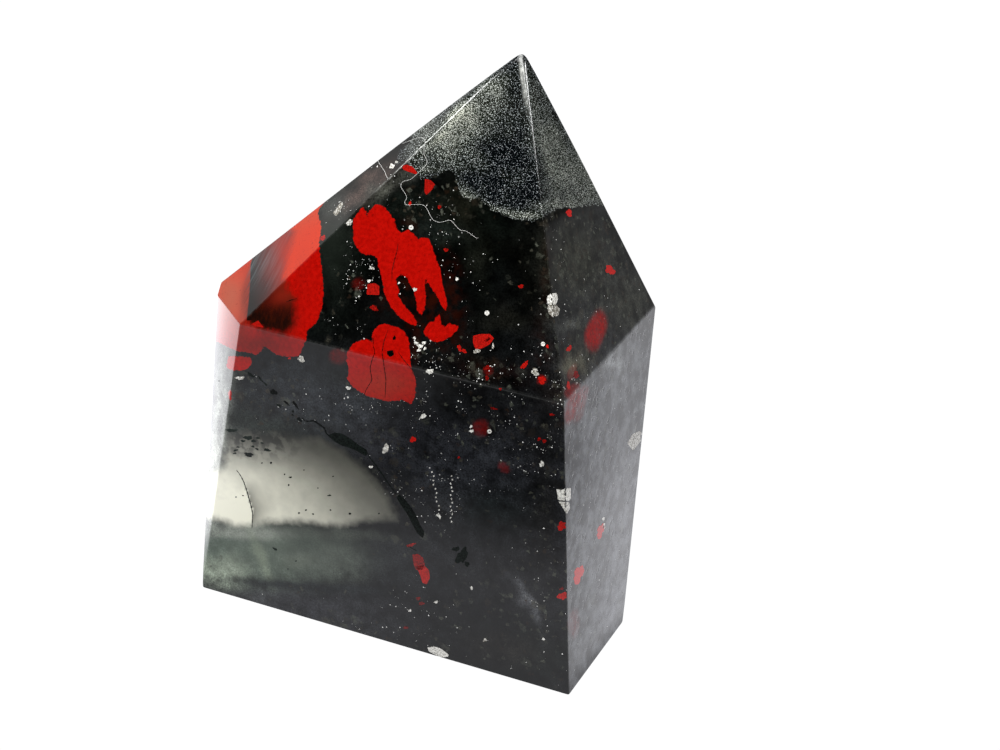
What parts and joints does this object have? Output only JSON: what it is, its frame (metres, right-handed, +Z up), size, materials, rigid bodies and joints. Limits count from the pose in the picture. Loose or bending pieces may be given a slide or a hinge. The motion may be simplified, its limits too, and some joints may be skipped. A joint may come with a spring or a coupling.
{
  "type": "bloodstone point",
  "caption": "Polished free-standing bloodstone point with a flat cut base, flat ground sides and an off-centre faceted tip, dark green with red spots and patches.",
  "frame": {"origin": "bottom centre of the stone's box, on the flat cut base", "axes": "+Z up through the stone towards the tip, the wide front face looks along -Y, the narrow right face looks along +X"},
  "size_m": [0.0689, 0.0486, 0.0894],
  "materials": {
    "stone": "glassy hand polish"
  },
  "bodies": {
    "root": {"stone": "stone"}
  },
  "joints": []
}
